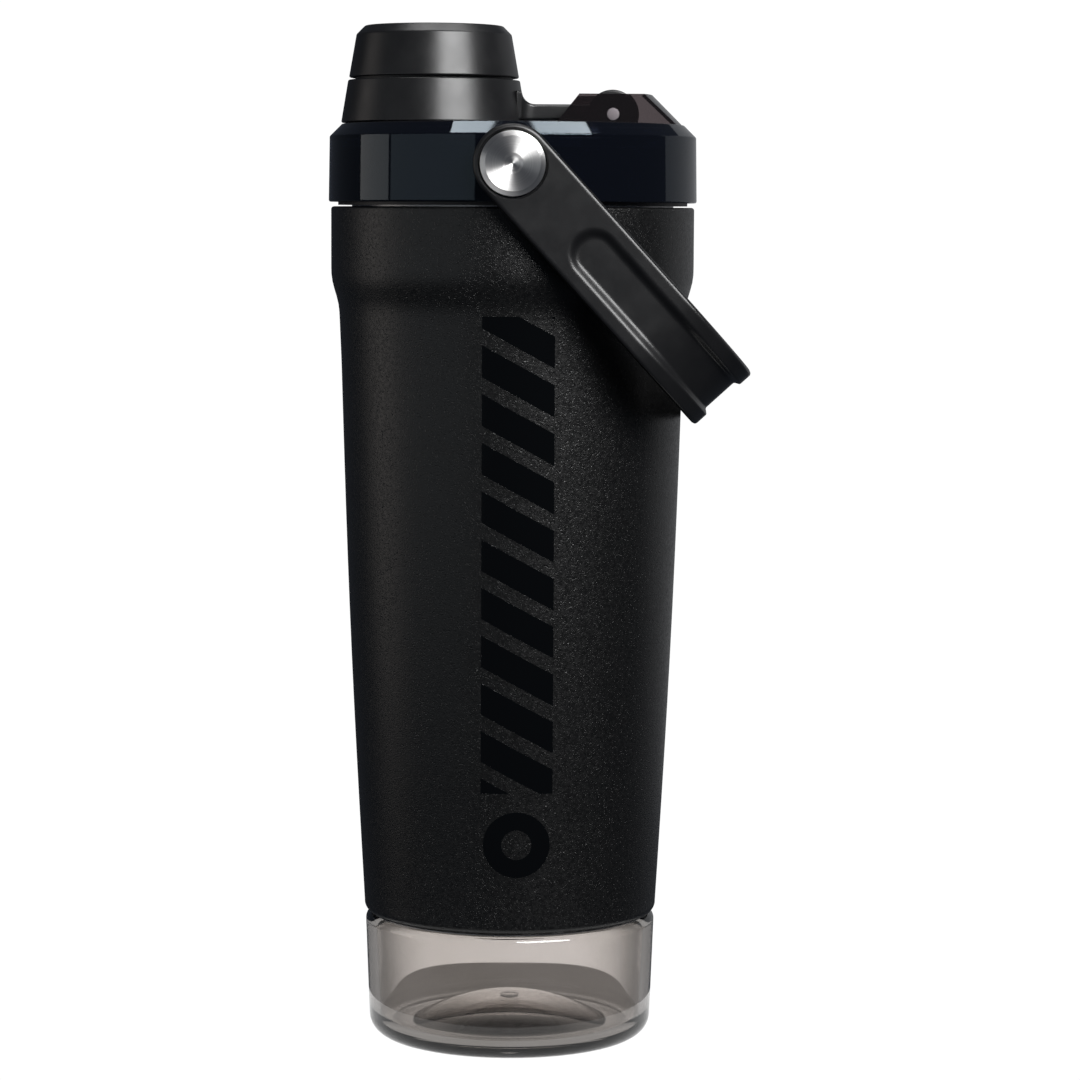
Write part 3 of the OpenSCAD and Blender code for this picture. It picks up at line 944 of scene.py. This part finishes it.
def carried_nodes():
    """CAD nodes whose own shape is right get a finished material."""
    for name, slot in CARRIED.items():
        obj = frame["nodes"][name]
        obj.data.materials.clear()
        obj.data.materials.append(MATERIALS[slot])


outer_shell()
base_ring()
storage_cup()
lid_cover()
cap_shell()
cap_ring()
handle()
handle_screw("handle_screw_front", -1)
handle_screw("handle_screw_back", 1)
hinge_pin()
carried_nodes()


# ---------------------------------------------------------------- stage, light and camera


FLOOR_Z = -0.0001
LID_HEIGHT = 0.2


def stage_object(name, outline, segments=128):
    """Turned surface of the set, open at both ends of its outline (r, z) in metres."""
    bm = bmesh.new()
    rings = []
    for r, z in outline:
        if r < 1e-6:
            rings.append([bm.verts.new((0, 0, z))] * segments)
        else:
            turn = [2 * math.pi * k / segments for k in range(segments)]
            rings.append([bm.verts.new((r * math.cos(a), r * math.sin(a), z)) for a in turn])
    for ring, following in zip(rings, rings[1:]):
        for k in range(segments):
            k2 = (k + 1) % segments
            if ring[k] == ring[k2]:
                bm.faces.new((ring[k], following[k], following[k2]))
            else:
                bm.faces.new((ring[k], following[k], following[k2], ring[k2]))
    mesh = bpy.data.meshes.new(name)
    bm.to_mesh(mesh)
    bm.free()
    mesh.shade_smooth()
    obj = bpy.data.objects.new(name, mesh)
    bpy.context.scene.collection.objects.link(obj)
    return obj


def only_seen_by(obj, material, ray):
    """Give a piece of the set its material, and show it to one kind of ray only."""
    obj.data.materials.append(material)
    for kind in ("camera", "diffuse", "glossy", "transmission", "shadow"):
        setattr(obj, "visible_" + kind, kind == ray)


def glow(name, strength, colour=(1, 1, 1)):
    """Material that only gives off light."""
    shader = Shader(name, (0.0, 0.0, 0.0), 0.9)
    shader.bsdf.inputs["Specular IOR Level"].default_value = 0
    shader.bsdf.inputs["Emission Color"].default_value = (*colour, 1)
    shader.bsdf.inputs["Emission Strength"].default_value = strength
    return shader


def backdrop():
    """Plain pale floor that curves up into a wall all round."""
    wall, bend, tall, floor, steps = 3.2, 1.0, 4.0, 2 * FLOOR_Z, 12
    line = [(0, floor), (wall - bend, floor)]
    for k in range(1, steps + 1):
        a = 90 * DEG * k / steps
        line.append((wall - bend + bend * math.sin(a), bend - bend * math.cos(a)))
    room = stage_object("backdrop", line + [(wall, tall)])
    only_seen_by(room, glow("pale_floor", 1.03).material, "camera")


def surround():
    """What the clear plastic shows round it: a bright patch behind the bottle, and darkness beside it."""
    low, high, radius = -0.6, 1.2, 0.7
    shader = glow("back_glow", 1.0)
    place = shader.split_place()
    away = shader.math("ABSOLUTE", shader.math("ARCTAN2", place["X"], place["Y"]))
    patch = shader.ramp(away, 3 * DEG, 15 * DEG, 1.3, 0.5)
    fade = shader.ramp(away, 14 * DEG, 22 * DEG, 1, 0.1)
    below = shader.math("LESS_THAN", place["Z"], -0.01)
    from_below = shader.math("MULTIPLY", below, 0.4)
    level = shader.math("MAXIMUM", shader.math("MULTIPLY", patch, fade), from_below)
    shader.link(level, shader.bsdf.inputs["Emission Strength"])
    obj = stage_object("surround", [(0, low), (radius, low), (radius, high)])
    only_seen_by(obj, shader.material, "transmission")


def floor_ring():
    """Bright floor round the foot, seen only in the glossy edge of the cup."""
    obj = stage_object("floor_ring", [(0.0305, FLOOR_Z), (0.062, FLOOR_Z)])
    only_seen_by(obj, glow("floor_gloss", 0.9).material, "glossy")


def painted_floor_shadow():
    """Painted shadow of the bottle on the floor, seen through the cup: a dark, rounded, squarish patch."""
    half_x, half_y, middle_y = 0.038, 0.062, 0.014
    power = 3
    # painted shadow: a flat patch on the floor, seen only through the cup, that stands for the bottle's shade
    obj = stage_object("painted_floor_shadow", [(0, FLOOR_Z), (1, FLOOR_Z)])
    for vertex in obj.data.vertices:
        x, y = vertex.co.x, vertex.co.y
        span = (abs(x) ** power + abs(y) ** power) ** (1 / power)
        swell = 1 / max(1e-6, span)
        vertex.co.x = half_x * x * swell
        vertex.co.y = middle_y + half_y * y * swell
    # painted shadow: a dim glow, darkest near the axis, for the shade that the bottle throws on the floor
    shader = glow("painted_shadow_glow", 0.3, (1.0, 0.98, 0.96))
    reach = shader.node("ShaderNodeVectorMath", operation="LENGTH")
    shader.link(shader.place, reach.inputs[0])
    shade = shader.ramp(reach.outputs["Value"], 0.008, 0.03, 0.04, 0.33)
    shader.link(shade, shader.bsdf.inputs["Emission Strength"])
    only_seen_by(obj, shader.material, "transmission")


def softbox(name, width, tall, radiance, position, aim=(0, 0, LID_HEIGHT), colour=(1, 1, 1)):
    """Rectangular area light at position, in metres, that faces the point aim."""
    light = bpy.data.lights.new(name, "AREA")
    light.shape = "RECTANGLE"
    light.size = width
    light.size_y = tall
    light.energy = radiance * math.pi * width * tall
    light.color = colour
    obj = bpy.data.objects.new(name, light)
    obj.location = position
    obj.rotation_euler = (Vector(aim) - Vector(position)).to_track_quat("-Z", "Y").to_euler()
    bpy.context.scene.collection.objects.link(obj)


def direction(azimuth, pitch, distance):
    """Place as seen from the lid: azimuth 0 is on the camera's side, 90 at the right."""
    a = azimuth * DEG
    p = pitch * DEG
    flat = distance * math.cos(p)
    return (flat * math.sin(a), -flat * math.cos(a), LID_HEIGHT + distance * math.sin(p))


def camera():
    """Camera at the height of the lid, looking slightly down."""
    yaw, tilt, roll = -0.424 * DEG, (90 - 5.305) * DEG, 0.28 * DEG
    data = bpy.data.cameras.new("camera")
    data.lens = 116.67
    data.sensor_width = 36
    data.clip_start = 0.01
    data.clip_end = 50
    obj = bpy.data.objects.new("camera", data)
    obj.location = (0.0007, -0.865, 0.2038)
    aim = Matrix.Rotation(yaw, 4, "Z") @ Matrix.Rotation(tilt, 4, "X")
    obj.rotation_euler = (aim @ Matrix.Rotation(roll, 4, "Z")).to_euler()
    bpy.context.scene.collection.objects.link(obj)
    bpy.context.scene.camera = obj


def world():
    """Faint, cool light from all round."""
    data = bpy.data.worlds.new("studio")
    data.use_nodes = True
    background = data.node_tree.nodes["Background"]
    background.inputs["Color"].default_value = (0.7, 0.8, 1.0, 1)
    background.inputs["Strength"].default_value = 0.05
    bpy.context.scene.world = data


backdrop()
surround()
floor_ring()
painted_floor_shadow()
softbox("key", 1.0, 0.7, 16, direction(30, 31, 1.4))
softbox("top", 0.9, 0.18, 8, (0.1, 0.085, 1.215), aim=(0.1, 0.0851, LID_HEIGHT))
softbox("left_fill", 0.6, 0.8, 0.8, direction(-95, 2, 1.3), colour=(1.0, 0.93, 0.88))
softbox("front_fill", 1.4, 0.7, 0.36, direction(-52, 0, 1.3), colour=(0.9, 0.96, 1.0))
softbox("right_rim", 1.7, 1.0, 0.25, direction(142, 5, 1.3))
camera()
world()
bpy.context.scene.view_settings.view_transform = "Standard"
